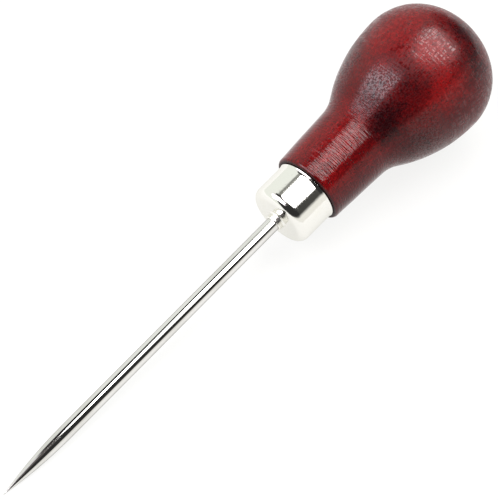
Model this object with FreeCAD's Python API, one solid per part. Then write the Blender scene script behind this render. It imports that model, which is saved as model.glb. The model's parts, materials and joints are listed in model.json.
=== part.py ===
"""Scratch awl for leatherwork: turned wooden handle, drawn ferrule and pointed steel blade.

Each piece is first made along its own axis, with the point of the blade at X = 0 and the butt
of the handle at +X. The awl is then laid on its side, as it rests on a bench: the flank of the
point and the bulb of the handle both touch Z = 0. Sizes are in millimetres, angles in degrees.
"""

import FreeCAD, Part
import math
import os

TOTAL_LENGTH = 136.0

# Blade: polished round rod with a ground point. Behind it a thinner tang leaves a shoulder that
# bears on the ferrule's collar, and the end of the tang is squared so that it can't turn.
BLADE_DIAMETER = 3.0
POINT_LENGTH = 17.6
TANG_DIAMETER = 2.6
TANG_LENGTH = 36.0
TANG_SQUARE_LENGTH = 24.0
TANG_SQUARE_SIDE = 1.8

# Ferrule: a cup drawn from sheet, its front pierced and turned out into a collar round the tang.
FERRULE_FACE = 78.1
FERRULE_DIAMETER = 14.0
FERRULE_LENGTH = 8.7
FERRULE_WALL = 0.6
FERRULE_SHOULDER_RADIUS = 1.8
COLLAR_DIAMETER = 3.7
COLLAR_HEIGHT = 1.4
COLLAR_FILLET = 0.45
COLLAR_EDGE_RADIUS = 0.15
COLLAR_CLEARANCE = 0.02
MOUTH_FLARE = 0.15
MOUTH_FLARE_LENGTH = 0.7

# Handle: a tenon inside the ferrule, then a neck, a cove and a bulb that fits the palm.
SHOULDER_GAP = 0.2
SHOULDER_ROUNDING = 0.7
TENON_END_GAP = 0.4
TENON_CHAMFER = 0.8
NECK_FRONT_DIAMETER = 16.1
NECK_TAPER = 2.7
COVE_RADIUS = 8.9
FLANK_ANGLE = 29.7
BULB_DIAMETER = 30.0
BULB_FRONT_RADIUS = 33.7
BULB_REAR_RADIUS = 12.8
BULB_REAR_TURN = 80.0

# Bore of the handle, filled with cured glue round the tang.
BORE_DIAMETER = 3.4
BORE_SPARE_DEPTH = 0.5
DRILL_POINT_ANGLE = 118.0

# Places along the awl's axis that follow from those sizes.
BLADE_RADIUS = BLADE_DIAMETER / 2
TANG_RADIUS = TANG_DIAMETER / 2
TANG_END = FERRULE_FACE + TANG_LENGTH
COLLAR_FRONT = FERRULE_FACE - COLLAR_HEIGHT
FERRULE_MOUTH = FERRULE_FACE + FERRULE_LENGTH
FERRULE_RADIUS = FERRULE_DIAMETER / 2
FERRULE_BORE_RADIUS = FERRULE_RADIUS - FERRULE_WALL
WOOD_SHOULDER = FERRULE_MOUTH + SHOULDER_GAP
TENON_FRONT = FERRULE_FACE + FERRULE_WALL + TENON_END_GAP
BULB_RADIUS = BULB_DIAMETER / 2


def at(x, r):
    """A point of a half section: x along the axis, r out from it."""
    return FreeCAD.Vector(x, 0, r)


def on_arc(centre, radius, angle):
    """A point on a circle in the half section. Angle 0 faces away from the axis and 90 the butt."""
    turn = math.radians(angle)
    return at(centre.x + radius * math.sin(turn), centre.z + radius * math.cos(turn))


def line(start, end):
    return Part.LineSegment(start, end).toShape()


def arc(centre, radius, start_angle, end_angle):
    angles = (start_angle, (start_angle + end_angle) / 2, end_angle)
    return Part.Arc(*[on_arc(centre, radius, angle) for angle in angles]).toShape()


def joined(curves):
    """The curves of a half section in order, with a straight edge wherever two ends don't meet."""
    edges = []
    for curve, following in zip(curves, curves[1:] + curves[:1]):
        edges.append(curve)
        end = curve.lastVertex(True).Point
        start = following.firstVertex(True).Point
        if end.distanceToPoint(start) > 1e-6:
            edges.append(line(end, start))
    return edges


def turned(curves):
    """The solid that the closed half section sweeps round the X axis."""
    section = Part.Face(Part.Wire(joined(curves)))
    return section.revolve(FreeCAD.Vector(), FreeCAD.Vector(1, 0, 0), 360)


def point_arc():
    """Centre and radius of the arc that the point is ground to, tangent to the shank."""
    radius = (POINT_LENGTH**2 + BLADE_RADIUS**2) / BLADE_DIAMETER
    return at(POINT_LENGTH, BLADE_RADIUS - radius), radius


def blade():
    centre, radius = point_arc()
    tip_angle = -math.degrees(math.asin(POINT_LENGTH / radius))
    square_start = TANG_END - TANG_SQUARE_LENGTH
    rod = turned([
        arc(centre, radius, tip_angle, 0),
        line(at(COLLAR_FRONT, BLADE_RADIUS), at(COLLAR_FRONT, TANG_RADIUS)),
        line(at(square_start, TANG_RADIUS), at(square_start, 0)),
    ])
    half = TANG_SQUARE_SIDE / 2
    corner = FreeCAD.Vector(square_start, -half, -half)
    return rod.fuse(Part.makeBox(TANG_SQUARE_LENGTH, TANG_SQUARE_SIDE, TANG_SQUARE_SIDE, corner))


def ferrule():
    hole_radius = TANG_RADIUS + COLLAR_CLEARANCE
    collar_radius = COLLAR_DIAMETER / 2
    shoulder = at(FERRULE_FACE + FERRULE_SHOULDER_RADIUS, FERRULE_RADIUS - FERRULE_SHOULDER_RADIUS)
    fillet = at(FERRULE_FACE - COLLAR_FILLET, collar_radius + COLLAR_FILLET)
    edge = at(COLLAR_FRONT + COLLAR_EDGE_RADIUS, collar_radius - COLLAR_EDGE_RADIUS)
    outside = (MOUTH_FLARE_LENGTH**2 + MOUTH_FLARE**2) / (2 * MOUTH_FLARE)
    inside = outside + FERRULE_WALL
    flare = at(FERRULE_MOUTH - MOUTH_FLARE_LENGTH, FERRULE_RADIUS + outside)
    outside_end = 180 - math.degrees(math.asin(MOUTH_FLARE_LENGTH / outside))
    inside_end = 180 - math.degrees(math.asin(MOUTH_FLARE_LENGTH / inside))
    plate_back = FERRULE_FACE + FERRULE_WALL
    return turned([
        line(at(COLLAR_FRONT, hole_radius), at(COLLAR_FRONT, edge.z)),
        arc(edge, COLLAR_EDGE_RADIUS, -90, 0),
        arc(fillet, COLLAR_FILLET, 180, 90),
        arc(shoulder, FERRULE_SHOULDER_RADIUS, -90, 0),
        arc(flare, outside, 180, outside_end),
        arc(flare, inside, inside_end, 180),
        arc(shoulder, FERRULE_SHOULDER_RADIUS - FERRULE_WALL, 0, -90),
        line(at(plate_back, hole_radius), at(COLLAR_FRONT, hole_radius)),
    ])


def bore():
    """The drilled hole in the handle, with the cone that the drill leaves at its end."""
    radius = BORE_DIAMETER / 2
    bottom = TANG_END + BORE_SPARE_DEPTH
    cone_depth = radius / math.tan(math.radians(DRILL_POINT_ANGLE / 2))
    return turned([
        line(at(TENON_FRONT, 0), at(TENON_FRONT, radius)),
        line(at(bottom, radius), at(bottom + cone_depth, 0)),
    ])


def cove_centre(neck_start, bulb):
    """Centre of the cove arc: it touches the neck's cone and the straight flank of the bulb."""
    neck = math.radians(NECK_TAPER)
    flank = math.radians(FLANK_ANGLE)
    off_flank = bulb.z * math.cos(flank) - bulb.x * math.sin(flank) + BULB_FRONT_RADIUS + COVE_RADIUS
    off_neck = neck_start.z * math.cos(neck) - neck_start.x * math.sin(neck) + COVE_RADIUS
    spread = math.sin(flank - neck)
    x = (off_neck * math.cos(flank) - off_flank * math.cos(neck)) / spread
    r = (off_neck * math.sin(flank) - off_flank * math.sin(neck)) / spread
    return at(x, r)


def bulb_centres():
    """Centres of the bulb's front arc, rear arc and butt dome, and the dome's radius."""
    turn = math.radians(BULB_REAR_TURN)
    dome_radius = BULB_REAR_RADIUS + (BULB_RADIUS - BULB_REAR_RADIUS) / math.cos(turn)
    dome = at(TOTAL_LENGTH - dome_radius, 0)
    widest = dome.x + (dome_radius - BULB_REAR_RADIUS) * math.sin(turn)
    front = at(widest, BULB_RADIUS - BULB_FRONT_RADIUS)
    rear = at(widest, BULB_RADIUS - BULB_REAR_RADIUS)
    return front, rear, dome, dome_radius


def handle():
    front, rear, dome, dome_radius = bulb_centres()
    rounding = at(WOOD_SHOULDER + SHOULDER_ROUNDING, NECK_FRONT_DIAMETER / 2 - SHOULDER_ROUNDING)
    cove = cove_centre(on_arc(rounding, SHOULDER_ROUNDING, -NECK_TAPER), front)
    tenon_edge = at(TENON_FRONT + TENON_CHAMFER, FERRULE_BORE_RADIUS)
    wood = turned([
        line(at(TENON_FRONT, 0), at(TENON_FRONT, FERRULE_BORE_RADIUS - TENON_CHAMFER)),
        line(tenon_edge, at(WOOD_SHOULDER, FERRULE_BORE_RADIUS)),
        arc(rounding, SHOULDER_ROUNDING, -90, -NECK_TAPER),
        arc(cove, COVE_RADIUS, 180 - NECK_TAPER, 180 - FLANK_ANGLE),
        arc(front, BULB_FRONT_RADIUS, -FLANK_ANGLE, 0),
        arc(rear, BULB_REAR_RADIUS, 0, BULB_REAR_TURN),
        arc(dome, dome_radius, BULB_REAR_TURN, 90),
    ])
    return wood.cut(bore())


def tang_glue():
    return bore().cut(blade())


def resting_place():
    """Lays the awl on Z = 0, touching with its point and its bulb, centred on the origin."""
    point, point_radius = point_arc()
    bulb, _, dome, dome_radius = bulb_centres()
    along = bulb.x - point.x
    out = bulb.z - point.z
    reach = math.hypot(along, out)
    tilt = math.acos((point_radius - BULB_FRONT_RADIUS) / reach) - math.atan2(along, out)
    lift = point.z * math.cos(tilt) - point.x * math.sin(tilt) + point_radius
    length_laid = dome.x * math.cos(tilt) + dome_radius
    turn = FreeCAD.Rotation(FreeCAD.Vector(0, 1, 0), -math.degrees(tilt))
    return FreeCAD.Placement(FreeCAD.Vector(-length_laid / 2, 0, lift), turn)


def main():
    os.makedirs("parts", exist_ok=True)
    place = resting_place()
    for make in (handle, ferrule, blade, tang_glue):
        piece = make()
        piece.Placement = place
        piece.exportStep(f"parts/{make.__name__}.step")


main()
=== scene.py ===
"""Looks of the scratch awl: lacquered wooden handle, nickel-plated ferrule and polished blade.

Each CAD piece is turned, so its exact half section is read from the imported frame, along the seam
where its surface closes. The section is refined and swept again as a fine mesh in the awl's own
axes, where X runs from the point to the butt. Lengths are in metres.
"""

import json
import math

import bmesh
import bpy
import numpy as np
from mathutils import Matrix, Vector


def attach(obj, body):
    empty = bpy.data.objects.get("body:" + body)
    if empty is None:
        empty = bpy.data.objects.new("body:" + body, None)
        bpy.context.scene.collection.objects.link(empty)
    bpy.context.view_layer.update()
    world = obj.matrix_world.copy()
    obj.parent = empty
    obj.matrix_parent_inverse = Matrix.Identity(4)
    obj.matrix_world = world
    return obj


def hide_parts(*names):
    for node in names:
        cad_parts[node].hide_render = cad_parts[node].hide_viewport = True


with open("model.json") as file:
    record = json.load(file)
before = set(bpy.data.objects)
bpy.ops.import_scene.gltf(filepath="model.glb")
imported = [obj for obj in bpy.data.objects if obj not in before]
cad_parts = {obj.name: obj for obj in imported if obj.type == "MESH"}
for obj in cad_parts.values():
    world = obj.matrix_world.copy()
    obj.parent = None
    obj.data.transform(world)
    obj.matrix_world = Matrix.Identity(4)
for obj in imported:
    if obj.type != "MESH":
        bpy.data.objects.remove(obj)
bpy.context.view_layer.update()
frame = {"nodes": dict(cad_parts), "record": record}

MM = 0.001
MICRON = 0.000001

# Camera, which looks down on the awl, with the point nearer than the butt. Its angles are in
# degrees, and its lens and sensor in millimetres.
CAMERA_ELEVATION = 56.8
CAMERA_HEADING = 42.7
CAMERA_DISTANCE = 0.430
CAMERA_LENS = 154.8
SENSOR_WIDTH = 36.0
AIM_FROM_POINT = 69.3 * MM
AIM_BESIDE_AXIS = 0.3 * MM

# Studio: what stands round the awl, in degrees. "Along" is 0 square to the awl and rises toward
# its butt. "Across" turns about the awl from the camera's side toward the picture's lower right.
# Each wall has its limits along and across, the softness of its edge, and its colour, brighter
# than 1 if it glows. Later ones stand in front of earlier ones.
BASE_LIGHT = (0.030, 0.030, 0.030)
WALLS = {
    "grey_screen": ((18, 58), (0, 60), 0.4, (0.068, 0.068, 0.063)),
    "left_wall": ((-95, 58), (-190, -59), 3.0, (0.95, 0.98, 0.93)),
    "right_wall": ((-95, 58), (47, 190), 6.0, (0.95, 0.94, 0.90)),
    "dim_wall": ((-40, 10), (-75, -36), 4.0, (0.88, 0.87, 0.88)),
    "white_card": ((-40, -10), (-74, -20), 5.0, (6.4, 6.0, 6.5)),
    "gap_by_softbox": ((17, 58), (-59, -36), 2.0, (0.30, 0.30, 0.28)),
    "gap_below_softbox": ((2, 17.5), (-66, -30), 1.0, (0.01, 0.01, 0.01)),
    "point_card": ((-8, 7), (-40, -6), 3.0, (0.13, 0.118, 0.115)),
    "softbox": ((8.5, 50), (-49, 17), 2.5, (8.5, 8.4, 8.4)),
}
# Both lower corners of the softbox are cut at a slant. It fades in where across + slope * along
# rises through the left range, and fades out where across - slope * along rises through the right.
SOFTBOX_LEFT_SLOPE = 1.6
SOFTBOX_LEFT_RANGE = (-17, -12)
SOFTBOX_RIGHT_SLOPE = 3.6
SOFTBOX_RIGHT_RANGE = (-61, -51)
BACKDROP_COLOUR = (1.0, 1.0, 0.99)

FLOOR_SIZE = 0.8
FLOOR_COLOURS = ((0.068, 0.068, 0.066), (0.074, 0.074, 0.072))
FLOOR_GLOW_COLOUR = (1, 1, 0.99, 1)
FLOOR_GLOW = 0.87

# Colours of the materials, in linear light.
DARK_STAIN = (0.016, 0.0011, 0.0018)
RED_STAIN = (0.086, 0.0023, 0.0029)
BRIGHT_STAIN = (0.196, 0.0044, 0.0048)
STAINED_SPECK = (0.014, 0.001, 0.002)
STAINED_PORE = (0.008, 0.0008, 0.001)
# Painted shade: near-black on the wood's edge at the ferrule's mouth, in place of the shadow in the
# gap between the two parts.
PAINTED_JOINT_SHADE = (0.004, 0.0005, 0.0008)
CLEAN_NICKEL = (0.88, 0.87, 0.825)
WARM_NICKEL = (0.86, 0.845, 0.785)
TARNISH_SPECK = (0.42, 0.38, 0.30)
CLEAN_STEEL = (0.80, 0.79, 0.77)
HANDLED_STEEL = (0.70, 0.69, 0.66)
DARK_GLUE = (0.52, 0.36, 0.14)
PALE_GLUE = (0.66, 0.52, 0.26)

# Tints of the metals' reflections where they are seen edge on, darker than the backdrop.
NICKEL_EDGE_TINT = (0.90, 0.90, 0.88, 1)
STEEL_EDGE_TINT = (0.36, 0.36, 0.34, 1)

# Clouds that make the red darker or brighter, part stain and part painted light: the dark cloud in
# the cove is painted shade, and the bright clouds under the highlights on the bulb and the neck are
# painted highlight. Each row gives the distance behind the ferrule in mm, angle about the axis in
# degrees from the top toward +Y, length and width of the cloud in mm, and the shade that it adds,
# which is negative where it is darker. A cloud fades out at CLOUD_REACH times its length and width
# from its middle, and its outline wanders within CLOUD_WANDER.
STAIN_AND_PAINTED_LIGHT_CLOUDS = (
    # Painted shade in the cove.
    (18.0, -33, 6.0, 5.0, -0.40),
    (25.0, -30, 8.0, 4.0, -0.20),
    (27.5, -12, 4.5, 4.5, -0.22),
    (21.5, 2, 6.0, 3.5, -0.25),
    (40.5, -50, 5.0, 6.5, -0.32),
    (44.0, -22, 4.5, 6.0, -0.35),
    (22.0, -78, 8.0, 5.0, -0.25),
    (25.0, 58, 10.0, 6.0, -0.24),
    (19.0, 100, 9.0, 6.0, -0.25),
    (34.0, 150, 9.0, 7.0, -0.35),
    (8.0, 175, 8.0, 4.0, -0.25),
    (31.5, -46, 6.5, 4.5, 0.30),
    # Painted highlight under the bulb's highlight.
    (34.0, -18, 6.5, 6.0, 0.36),
    (31.0, 22, 9.0, 6.0, 0.24),
    (38.0, 12, 6.0, 5.0, 0.12),
    (6.5, 24, 8.0, 3.5, 0.16),
    (15.5, 18, 5.0, 3.5, 0.02),
    (3.0, -42, 5.0, 3.0, 0.22),
    # Painted highlight under the neck's highlight.
    (8.0, -8, 10.0, 4.0, 0.22),
    (30.0, 100, 8.0, 6.0, 0.30),
    (12.0, 120, 8.0, 5.0, 0.25),
    (36.0, -110, 7.0, 6.0, 0.25),
    (20.0, -140, 8.0, 5.0, 0.25),
)
CLOUD_REACH = 1.3
CLOUD_WANDER = 5 * MM

# What hand turning leaves on the wood's skin, which starts SKIN_INSET inside the ferrule's outline
# and is even at the middle of the butt. Each length is for one radian of its wave, and each set of
# lobes has its number round the awl, its height and the length of its twist.
SKIN_INSET = 0.5 * MM
BUTT_RADIUS = 4 * MM
WAVE_HEIGHT = 0.020 * MM
WAVE_LENGTHS = (1.7 * MM, 4.1 * MM)
WAVE_PHASE = 1.0
LOBES = ((3, 0.030 * MM, 9 * MM), (5, 0.018 * MM, -6 * MM))
MARK_HEIGHT = 0.004 * MM
MARK_LENGTH = 0.13 * MM
MARK_DRIFT = 2.0
MARK_DRIFT_LENGTH = 0.9 * MM

# Places that the looks depend on. The neck starts at the ferrule's mouth. The bore and the
# ferrule's collar stay nearer to the axis than OUTSIDE_RADIUS. The blade's ground point ends where
# it has FULL_SHARE of its full radius, and the tang's flats get their depth over FLATS_RUN_IN.
NECK_LENGTH = 18 * MM
OUTSIDE_RADIUS = 4 * MM
FULL_SHARE = 0.98
FLATS_RUN_IN = 2 * MM

# Places in the CAD meshes are told apart to this many digits of a metre.
CAD_DIGITS = 7

# Fineness of the swept meshes.
CORNER_ANGLE = math.radians(10)
WOOD_SPACING = 0.22 * MM
METAL_SPACING = 0.12 * MM
BLADE_SPACING = 1.0 * MM
WOOD_EDGE = 0.08 * MM
METAL_EDGE = 0.03 * MM
WOOD_SEGMENTS = 144
FERRULE_SEGMENTS = 160
BLADE_SEGMENTS = 96
TANG_RINGS = 25


# ---------------------------------------------------------------- the awl's own axes

def mount(name):
    return next(m for m in frame["record"]["mounts"] if m["name"] == name)


def cad_vertices(node):
    return np.array([v.co for v in frame["nodes"][node].data.vertices], float)


def awl_placement():
    """Matrix from the awl's own axes (X to the butt, Y level, point at the origin) to the frame."""
    shank = mount("blade_shank")
    along = -Vector(shank["axis"]).normalized()
    level = Vector((0, 1, 0))
    rotation = Matrix((along, level, along.cross(level))).transposed().to_4x4()
    start = Vector(shank["pos_m"])
    point = min((Vector(v) - start).dot(along) for v in cad_vertices("blade"))
    return Matrix.Translation(start + point * along) @ rotation


AWL = awl_placement()


def own_vertices(node):
    """The CAD node's vertices in the awl's own axes."""
    inverse = np.array(AWL.inverted())
    return cad_vertices(node) @ inverse[:3, :3].T + inverse[:3, 3]


def radii(vertices):
    return np.hypot(vertices[:, 1], vertices[:, 2])


# ---------------------------------------------------------------- half sections

def half_section(node):
    """The (x, r) points of a turned CAD node, in order along its seam, and whether they close."""
    vertices = own_vertices(node)
    tiny = 10 ** -CAD_DIGITS
    on_seam = (np.abs(vertices[:, 1]) < tiny) & (vertices[:, 2] > -tiny)
    points = {int(i): (round(vertices[i, 0], CAD_DIGITS), round(abs(vertices[i, 2]), CAD_DIGITS))
              for i in np.flatnonzero(on_seam)}
    links = {}
    for edge in frame["nodes"][node].data.edges:
        a, b = (points.get(i) for i in edge.vertices)
        if a and b and a != b:
            links.setdefault(a, set()).add(b)
            links.setdefault(b, set()).add(a)
    # An open section starts at an end off the axis, if it has one, or else at its lower x.
    ends = [p for p in links if len(links[p]) == 1]
    path = [min(ends, key=lambda p: (p[1] == 0, p[0])) if ends else min(links)]
    while True:
        onward = sorted(links[path[-1]] - set(path))
        if not onward:
            return path, not ends
        path.append(onward[0])


def runs_between_corners(path, closed):
    """Splits a section at its sharp corners. A closed section has to start at a corner."""
    points = [Vector(p) for p in (path + path[:1] if closed else path)]
    runs = [points[:2]]
    for before, corner, after in zip(points, points[1:], points[2:]):
        turn = abs((corner - before).angle(after - corner))
        if turn > CORNER_ANGLE:
            runs.append([corner])
        runs[-1].append(after)
    return runs


def bows(run):
    """How far the true curve turns along each chord of a run of straight lines and arcs.

    Two neighbouring chords turn by half of what their curves turn together, so the first bow
    settles all others. It is 0 or that of an arc, whichever gives the evener bows.
    """
    chords = [b - a for a, b in zip(run, run[1:])]
    turns = [-a.angle_signed(b) for a, b in zip(chords, chords[1:])]
    choices = []
    for first in [0.0] + turns[:1]:
        choice = [first]
        for turn in turns:
            choice.append(2 * turn - choice[-1])
        unevenness = sum(abs(a - b) for a, b in zip(choice, choice[1:]))
        choices.append((unevenness, choice))
    return min(choices)[1]


def refined(run, spacing):
    """The run's points with its arcs filled in, about spacing apart.

    Over each chord stands a parabola as high as the arc that turns by the chord's bow.
    """
    fine = [run[0]]
    for a, b, bow in zip(run, run[1:], bows(run)):
        chord = b - a
        steps = max(1, round(chord.length / spacing))
        outward = Vector((chord.y, -chord.x)) * 2 * math.tan(bow / 4)
        for step in range(1, steps + 1):
            t = step / steps
            fine.append(a + chord * t + outward * t * (1 - t))
    return fine


def softened(runs, edge):
    """Joins the refined runs into one list, with each corner between them slightly rounded."""
    joined = list(runs[0])
    for run in runs[1:]:
        corner = joined.pop()
        back, onward = joined[-1] - corner, run[1] - corner
        # At most a quarter of each step, so that a support point three times as far fits too.
        near = min(edge, back.length / 4, onward.length / 4)
        back, onward = back.normalized() * near, onward.normalized() * near
        joined += [corner + back * 3, corner + back]
        joined.append(corner + (back + onward) / 4)
        joined += [corner + onward, corner + onward * 3]
        joined += run[1:]
    return joined


def fine_section(node, spacing, edge):
    path, closed = half_section(node)
    runs = [refined(run, spacing) for run in runs_between_corners(path, closed)]
    return softened(runs, edge), closed


# ---------------------------------------------------------------- swept meshes

def swept(name, section, segments, closed=False, reshape=None):
    """A mesh turned about the awl's axis. reshape(x, r, angle) may change the radii.

    A closed section ends with its first point again, which isn't swept twice.
    """
    points = section[:-1] if closed else section
    x = np.array([p.x for p in points])[:, None]
    r = np.array([p.y for p in points])[:, None]
    angle = np.arange(segments)[None, :] * 2 * math.pi / segments
    radius = reshape(x, r, angle) if reshape else r + 0 * angle
    rings = np.stack([x + 0 * angle, radius * np.sin(angle), radius * np.cos(angle)], axis=2)
    shape = bmesh.new()
    grid = []
    for ring, on_axis in zip(rings, r[:, 0] < MICRON):
        if on_axis:
            grid.append([shape.verts.new((ring[0][0], 0, 0))] * segments)
        else:
            grid.append([shape.verts.new(place) for place in ring])
    following = grid[1:] + grid[:1] if closed else grid[1:]
    for first, second in zip(grid, following):
        for i in range(segments):
            j = (i + 1) % segments
            corners = dict.fromkeys((first[i], first[j], second[j], second[i]))
            shape.faces.new(corners).smooth = True
    bmesh.ops.recalc_face_normals(shape, faces=shape.faces)
    mesh = bpy.data.meshes.new(name)
    shape.to_mesh(mesh)
    shape.free()
    return bpy.data.objects.new(name, mesh)


def placed(piece, node, material):
    """Puts a finished piece in the scene, in place of its CAD node."""
    bpy.context.scene.collection.objects.link(piece)
    piece.matrix_world = AWL
    piece.data.materials.append(material)
    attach(piece, "root")
    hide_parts(node)


def handle_piece(material):
    """The wood, whose skin hand turning has left uneven. Its tenon and bore stay true."""
    section, _ = fine_section("handle", WOOD_SPACING, WOOD_EDGE)
    bore_end = min(p.x for p in section if p.y < MICRON)
    skin_start = own_vertices("ferrule")[:, 1].max() - SKIN_INSET

    def turned_by_hand(x, r, angle):
        skin = (r > skin_start) | (x > bore_end + MM)
        first, second = WAVE_LENGTHS
        waves = WAVE_HEIGHT * np.sin(x / first) * np.sin(x / second + WAVE_PHASE)
        lobes = sum(height * np.sin(number * angle + x / twist) for number, height, twist in LOBES)
        marks = MARK_HEIGHT * np.sin(x / MARK_LENGTH + MARK_DRIFT * np.sin(x / MARK_DRIFT_LENGTH))
        fade = np.clip(r / BUTT_RADIUS, 0, 1)
        return r + skin * fade * (waves + lobes + marks)

    piece = swept("handle_wood", section, WOOD_SEGMENTS, reshape=turned_by_hand)
    placed(piece, "handle", material)


def ferrule_piece(material):
    section, closed = fine_section("ferrule", METAL_SPACING, METAL_EDGE)
    piece = swept("ferrule_cup", section, FERRULE_SEGMENTS, closed=closed)
    placed(piece, "ferrule", material)


def blade_piece(material):
    """The blade and its tang, whose end is squared by four flats cut into the round."""
    section, _ = fine_section("blade", BLADE_SPACING, METAL_EDGE)
    vertices = own_vertices("blade")
    square_start = section[0].x
    tang_end = vertices[:, 0].max()
    half_side = vertices[vertices[:, 0] > square_start + MM, 1].max()
    round_radius = max(p.y for p in section if p.x > square_start - MM)
    tang_rings = np.linspace(tang_end, square_start, TANG_RINGS)
    tang = [Vector((tang_end, 0))] + [Vector((x, round_radius)) for x in tang_rings]
    rod = [p for p in section if p.x < square_start - MM]

    def squared(x, r, angle):
        depth = np.clip((x - square_start) / FLATS_RUN_IN, 0, 1)
        side = round_radius + (half_side - round_radius) * depth
        flats = side / np.maximum(np.abs(np.sin(angle)), np.abs(np.cos(angle)))
        return np.where(x > square_start, np.minimum(r, flats), r + 0 * angle)

    piece = swept("blade_rod", tang + rod, BLADE_SEGMENTS, reshape=squared)
    placed(piece, "blade", material)


# ---------------------------------------------------------------- materials

# The sockets of a Mix node that mixes colours, which share their names with others.
MIX_FACTOR, MIX_FIRST, MIX_SECOND = 0, 6, 7
MIX_RESULT = 2


class Shader:
    """A node tree, with short ways to add the nodes that the materials here are made of."""

    def __init__(self, owner):
        owner.use_nodes = True
        self.tree = owner.node_tree
        self.tree.nodes.clear()

    def add(self, kind, inputs=(), **settings):
        node = self.tree.nodes.new("ShaderNode" + kind)
        for name, value in settings.items():
            setattr(node, name, value)
        for name, value in dict(inputs).items():
            if isinstance(value, bpy.types.NodeSocket):
                self.tree.links.new(value, node.inputs[name])
            else:
                node.inputs[name].default_value = value
        return node

    def math(self, operation, first, second=0.0, third=0.0):
        values = {0: first, 1: second, 2: third}
        return self.add("Math", values, operation=operation).outputs[0]

    def vector(self, operation, first, second, output="Vector"):
        return self.add("VectorMath", {0: first, 1: second}, operation=operation).outputs[output]

    def place(self):
        """The surface's place in the awl's own axes."""
        return self.add("TexCoord").outputs["Object"]

    def from_point(self):
        """How far the surface is from the point, along the awl."""
        return self.add("SeparateXYZ", {"Vector": self.place()}).outputs["X"]

    def stretched(self, sizes_mm):
        """The surface's place in the awl's own axes, in units of the given sizes."""
        scale = [1 / (size * MM) for size in sizes_mm]
        return self.add("Mapping", {"Vector": self.place(), "Scale": scale}).outputs[0]

    def noise(self, sizes_mm, detail=3.0, roughness=0.5, distortion=0.0, output="Fac"):
        inputs = {"Vector": self.stretched(sizes_mm), "Scale": 1.0, "Detail": detail,
                  "Roughness": roughness, "Distortion": distortion}
        return self.add("TexNoise", inputs).outputs[output]

    def cells(self, sizes_mm):
        """The distance from the middle of the nearest of many scattered cells."""
        inputs = {"Vector": self.stretched(sizes_mm), "Scale": 1.0}
        return self.add("TexVoronoi", inputs).outputs["Distance"]

    def remap(self, value, low, high, to_low=0.0, to_high=1.0, smooth=True):
        inputs = {"Value": value, "From Min": low, "From Max": high,
                  "To Min": to_low, "To Max": to_high}
        kind = "SMOOTHSTEP" if smooth else "LINEAR"
        return self.add("MapRange", inputs, interpolation_type=kind).outputs["Result"]

    def blend(self, factor, first, second):
        """Colours mixed by a factor. Each is a socket or an (r, g, b) in linear light."""
        first, second = (colour if isinstance(colour, bpy.types.NodeSocket) else (*colour, 1)
                         for colour in (first, second))
        inputs = {MIX_FACTOR: factor, MIX_FIRST: first, MIX_SECOND: second}
        return self.add("Mix", inputs, data_type="RGBA").outputs[MIX_RESULT]

    def bump(self, height, depth, normal=None):
        inputs = {"Height": height, "Distance": depth, "Strength": 1.0}
        if normal:
            inputs["Normal"] = normal
        return self.add("Bump", inputs).outputs[0]

    def surface(self, **inputs):
        named = {name.replace("_", " "): value for name, value in inputs.items()}
        surface = self.add("BsdfPrincipled", named)
        output = self.add("OutputMaterial")
        self.tree.links.new(surface.outputs[0], output.inputs[0])


def stain_and_painted_light_clouds(s, lip):
    """The shade that the large clouds add, with edges that wander: stain, painted shade in the cove
    and painted highlight under the highlights.
    """
    path, _ = half_section("handle")
    outline = np.array([p for p in path if p[0] > lip and p[1] > OUTSIDE_RADIUS])
    outline = outline[outline[:, 0].argsort()]
    wander = s.vector("SUBTRACT", s.noise((3.5, 3.0, 3.0), output="Color"), (0.5, 0.5, 0.5))
    wander = s.vector("MULTIPLY", wander, [CLOUD_WANDER] * 3)
    place = s.vector("ADD", s.place(), wander)
    total = 0.0
    for behind_ferrule, degrees, length, width, shade in STAIN_AND_PAINTED_LIGHT_CLOUDS:
        x = lip + behind_ferrule * MM
        r = np.interp(x, outline[:, 0], outline[:, 1])
        angle = math.radians(degrees)
        sizes = np.array((length, width, width)) * MM
        centre = np.array((x, r * math.sin(angle), r * math.cos(angle)))
        away = s.vector("DISTANCE", s.vector("DIVIDE", place, sizes), centre / sizes, "Value")
        total = s.math("ADD", total, s.remap(away, 0.0, CLOUD_REACH, shade, 0.0))
    return total


def stained_colour(s, lip, between_pores):
    """Red stain that took unevenly, darkest in the specks and pores of the wood, with clouds of
    painted shade and painted highlight among the stain's own.
    """
    haze = s.noise((12, 8, 8), detail=2)
    streaks = s.noise((7, 1.3, 1.3), detail=4, roughness=0.6, distortion=0.6)
    mottle = s.noise((0.9, 0.6, 0.6), detail=4, roughness=0.7)
    # Centred, so that the shade is about 0.5 where there is no cloud.
    shade = s.math("SUBTRACT", stain_and_painted_light_clouds(s, lip), 0.355)
    for pattern, share in ((haze, 0.35), (streaks, 0.30), (mottle, 1.05)):
        shade = s.math("MULTIPLY_ADD", pattern, share, shade)
    colour = s.blend(s.remap(shade, 0.05, 0.50), DARK_STAIN, RED_STAIN)
    colour = s.blend(s.remap(shade, 0.46, 0.92), colour, BRIGHT_STAIN)
    specks = s.noise((0.42, 0.22, 0.22), detail=2, roughness=0.6)
    between_specks = s.remap(specks, 0.34, 0.58, smooth=False)
    colour = s.blend(between_specks, s.blend(0.6, colour, STAINED_SPECK), colour)
    return s.blend(between_pores, STAINED_PORE, colour)


def lacquer_relief(s, on_bulb, between_pores):
    """Orange peel, with lathe marks and pores that show through, fainter marks on the bulb."""
    orange_peel = s.noise((0.40, 0.40, 0.40), detail=2)
    lathe_marks = s.noise((0.25, 3.0, 3.0), detail=1)
    lathe_marks = s.math("MULTIPLY", lathe_marks, s.remap(on_bulb, 0.0, 1.0, 1.0, 0.15))
    normal = s.bump(orange_peel, 14 * MICRON)
    normal = s.bump(lathe_marks, 95 * MICRON, normal)
    return s.bump(between_pores, 10 * MICRON, normal)


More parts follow.
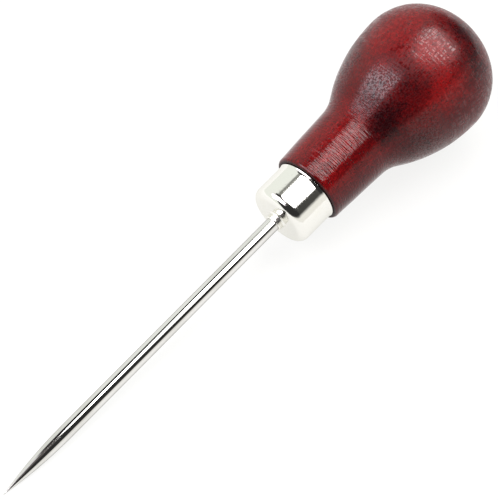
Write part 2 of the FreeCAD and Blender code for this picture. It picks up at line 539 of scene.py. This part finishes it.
def dull_spots(s, bulb_start):
    """1 where the lacquer is dull: in nibs about the cove, and in crossed fine lines behind it."""
    from_point = s.from_point()
    in_cove = s.remap(from_point, bulb_start - 5 * MM, bulb_start - 2 * MM)
    before_lines = s.remap(from_point, bulb_start + 8 * MM, bulb_start + 12 * MM, 1.0, 0.0)
    nibs = s.remap(s.noise((0.36, 0.34, 0.34), detail=1), 0.44, 0.56)
    nibs = s.math("MULTIPLY", nibs, s.math("MULTIPLY", in_cove, before_lines))
    behind_cove = s.remap(from_point, bulb_start + 7 * MM, bulb_start + 11 * MM)
    lengthwise, crosswise = (2.2, 0.30, 0.30), (0.30, 2.2, 2.2)
    lines = [s.remap(s.noise(sizes, detail=1, distortion=0.3), 0.46, 0.56, 1.0, 0.0)
             for sizes in (lengthwise, crosswise)]
    lines = s.math("MULTIPLY", s.math("MAXIMUM", *lines), behind_cove)
    return s.math("MAXIMUM", nibs, lines)


def lacquered_wood():
    """Red-stained wood under lacquer. A painted shade darkens the edge that meets the ferrule."""
    material = bpy.data.materials.new("lacquered_wood")
    s = Shader(material)
    lip = own_vertices("ferrule")[:, 0].max()
    bulb_start = lip + NECK_LENGTH
    from_point = s.from_point()
    off_lip = s.remap(from_point, lip + 0.1 * MM, lip + 0.5 * MM)
    on_bulb = s.remap(from_point, bulb_start, bulb_start + 6 * MM)
    between_pores = s.remap(s.cells((1.5, 0.40, 0.40)), 0.10, 0.24)
    # Painted shade on the wood's edge next to the ferrule, where the gap between the parts lies in
    # shadow.
    colour = s.blend(off_lip, PAINTED_JOINT_SHADE, stained_colour(s, lip, between_pores))
    dull = dull_spots(s, bulb_start)
    roughness = s.remap(s.noise((2.0, 1.2, 1.2), detail=3), 0.3, 0.7, 0.06, 0.12)
    roughness = s.remap(dull, 0.0, 1.0, roughness, 0.35, smooth=False)
    roughness = s.remap(off_lip, 0.0, 1.0, 0.6, roughness, smooth=False)
    shine = s.remap(on_bulb, 0.0, 1.0, 0.28, 0.43)
    shine = s.remap(dull, 0.0, 1.0, shine, 0.20, smooth=False)
    s.surface(Base_Color=colour, Roughness=roughness, IOR=1.5, Specular_IOR_Level=shine,
              Normal=lacquer_relief(s, on_bulb, between_pores))
    return material


def nickel_plate():
    """Nickel plate over drawn brass, duller on the collar that the punch drew out."""
    material = bpy.data.materials.new("nickel_plate")
    s = Shader(material)
    cloud = s.noise((5, 4, 4), detail=4, roughness=0.6)
    colour = s.blend(s.remap(cloud, 0.45, 0.75), CLEAN_NICKEL, WARM_NICKEL)
    specks = s.remap(s.noise((0.35, 0.35, 0.35), detail=2), 0.70, 0.78)
    colour = s.blend(s.math("MULTIPLY", specks, 0.35), colour, TARNISH_SPECK)
    ripples = s.noise((2.5, 2.0, 2.0), detail=1)
    dimples = s.noise((0.45, 0.45, 0.45), detail=2)
    draw_lines = s.noise((0.10, 3.0, 3.0), detail=2)
    normal = s.bump(ripples, 9 * MICRON)
    normal = s.bump(dimples, 5 * MICRON, normal)
    normal = s.bump(draw_lines, 0.35 * MICRON, normal)
    vertices = own_vertices("ferrule")
    face = vertices[radii(vertices) > OUTSIDE_RADIUS, 0].min()
    roughness = s.remap(cloud, 0.3, 0.8, 0.07, 0.13)
    roughness = s.remap(s.from_point(), face - 0.2 * MM, face, 0.28, roughness, smooth=False)
    s.surface(Base_Color=colour, Metallic=1.0, Roughness=roughness, Normal=normal,
              Specular_Tint=NICKEL_EDGE_TINT)
    return material


def polished_steel():
    """Steel polished along the rod. Its ground point is a little duller."""
    material = bpy.data.materials.new("polished_steel")
    s = Shader(material)
    cloud = s.noise((7, 2, 2), detail=4)
    colour = s.blend(s.remap(cloud, 0.40, 0.75), CLEAN_STEEL, HANDLED_STEEL)
    polish_lines = s.noise((6.0, 0.09, 0.09), detail=2)
    rings = s.noise((0.15, 2.0, 2.0), detail=2)
    normal = s.bump(polish_lines, 0.15 * MICRON)
    normal = s.bump(rings, 0.12 * MICRON, normal)
    vertices = own_vertices("blade")
    thickness = radii(vertices)
    ground_end = vertices[thickness > FULL_SHARE * thickness.max(), 0].min()
    ground = s.remap(s.noise((3.0, 0.4, 0.4), detail=2), 0.3, 0.7, 0.05, 0.10)
    polished = s.remap(cloud, 0.3, 0.8, 0.02, 0.05)
    roughness = s.remap(s.from_point(), ground_end - 2.5 * MM, ground_end, ground, polished,
                        smooth=False)
    s.surface(Base_Color=colour, Metallic=1.0, Roughness=roughness, Normal=normal,
              Specular_Tint=STEEL_EDGE_TINT)
    return material


def cured_glue():
    material = bpy.data.materials.new("cured_glue")
    s = Shader(material)
    cloud = s.noise((3, 3, 3))
    colour = s.blend(cloud, DARK_GLUE, PALE_GLUE)
    bubbles = s.cells((0.6, 0.6, 0.6))
    s.surface(Base_Color=colour, Roughness=s.remap(cloud, 0.3, 0.7, 0.35, 0.5),
              Normal=s.bump(bubbles, 20 * MICRON))
    return material


def pale_floor():
    material = bpy.data.materials.new("pale_floor")
    s = Shader(material)
    colour = s.blend(s.noise((90, 90, 90), detail=2), *FLOOR_COLOURS)
    s.surface(Base_Color=colour, Roughness=0.8, Emission_Color=FLOOR_GLOW_COLOUR,
              Emission_Strength=FLOOR_GLOW)
    return material


# ---------------------------------------------------------------- studio

def line_of_sight():
    elevation, heading = math.radians(CAMERA_ELEVATION), math.radians(CAMERA_HEADING)
    level = Vector((math.cos(heading), math.sin(heading), 0))
    return level * math.cos(elevation) - Vector((0, 0, math.sin(elevation)))


SIGHT = line_of_sight()
AXIS = AWL.to_3x3() @ Vector((1, 0, 0))
TOWARD_CAMERA = (-SIGHT - AXIS * -SIGHT.dot(AXIS)).normalized()
ACROSS = AXIS.cross(TOWARD_CAMERA)
AIM = AWL @ Vector((AIM_FROM_POINT, 0, 0)) + ACROSS * AIM_BESIDE_AXIS


def camera():
    data = bpy.data.cameras.new("camera")
    data.lens = CAMERA_LENS
    data.sensor_width = SENSOR_WIDTH
    data.clip_start = 0.01
    data.clip_end = 50.0
    eye = bpy.data.objects.new("camera", data)
    eye.location = AIM - SIGHT * CAMERA_DISTANCE
    eye.rotation_mode = "QUATERNION"
    eye.rotation_quaternion = SIGHT.to_track_quat("-Z", "Y")
    bpy.context.scene.collection.objects.link(eye)
    bpy.context.scene.camera = eye


def within(s, angle, limits, softness):
    """1 between two angles and 0 outside them, with soft edges."""
    low, high = limits
    rising = s.remap(angle, low - softness, low + softness)
    falling = s.remap(angle, high - softness, high + softness, 1.0, 0.0)
    return s.math("MULTIPLY", rising, falling)


def softbox_corners(s, along, across):
    """1 where the softbox is whole, and 0 past the slants that cut its lower corners."""
    left = s.math("MULTIPLY_ADD", along, SOFTBOX_LEFT_SLOPE, across)
    right = s.math("MULTIPLY_ADD", along, -SOFTBOX_RIGHT_SLOPE, across)
    return s.math("MULTIPLY", s.remap(left, *SOFTBOX_LEFT_RANGE),
                  s.remap(right, *SOFTBOX_RIGHT_RANGE, 1.0, 0.0))


def studio():
    """Lights the awl by what stands round it: pale walls, a white card and a large softbox."""
    world = bpy.data.worlds.new("studio")
    bpy.context.scene.world = world
    s = Shader(world)
    looking = s.add("TexCoord").outputs["Generated"]
    rise, side, front = (s.vector("DOT_PRODUCT", looking, direction, "Value")
                         for direction in (AXIS, ACROSS, TOWARD_CAMERA))
    along = s.math("DEGREES", s.math("ARCSINE", rise))
    across = s.math("DEGREES", s.math("ARCTAN2", side, front))
    colour = BASE_LIGHT
    for name, (along_limits, across_limits, softness, glow) in WALLS.items():
        wall = s.math("MULTIPLY", within(s, along, along_limits, softness),
                      within(s, across, across_limits, softness))
        if name == "softbox":
            wall = s.math("MULTIPLY", wall, softbox_corners(s, along, across))
        colour = s.blend(wall, colour, glow)
    seen = s.add("LightPath").outputs["Is Camera Ray"]
    colour = s.blend(seen, colour, BACKDROP_COLOUR)
    background = s.add("Background", {"Color": colour, "Strength": 1.0})
    output = s.add("OutputWorld")
    s.tree.links.new(background.outputs[0], output.inputs[0])


def floor():
    mesh = bpy.data.meshes.new("floor")
    half = FLOOR_SIZE / 2
    corners = [(-half, -half, 0), (half, -half, 0), (half, half, 0), (-half, half, 0)]
    mesh.from_pydata(corners, [], [(0, 1, 2, 3)])
    mesh.materials.append(pale_floor())
    plane = bpy.data.objects.new("floor", mesh)
    bpy.context.scene.collection.objects.link(plane)


def main():
    handle_piece(lacquered_wood())
    ferrule_piece(nickel_plate())
    blade_piece(polished_steel())
    glue = frame["nodes"]["tang_glue"]
    glue.data.materials.clear()
    glue.data.materials.append(cured_glue())
    camera()
    studio()
    floor()
    bpy.context.scene.view_settings.view_transform = "Standard"


main()
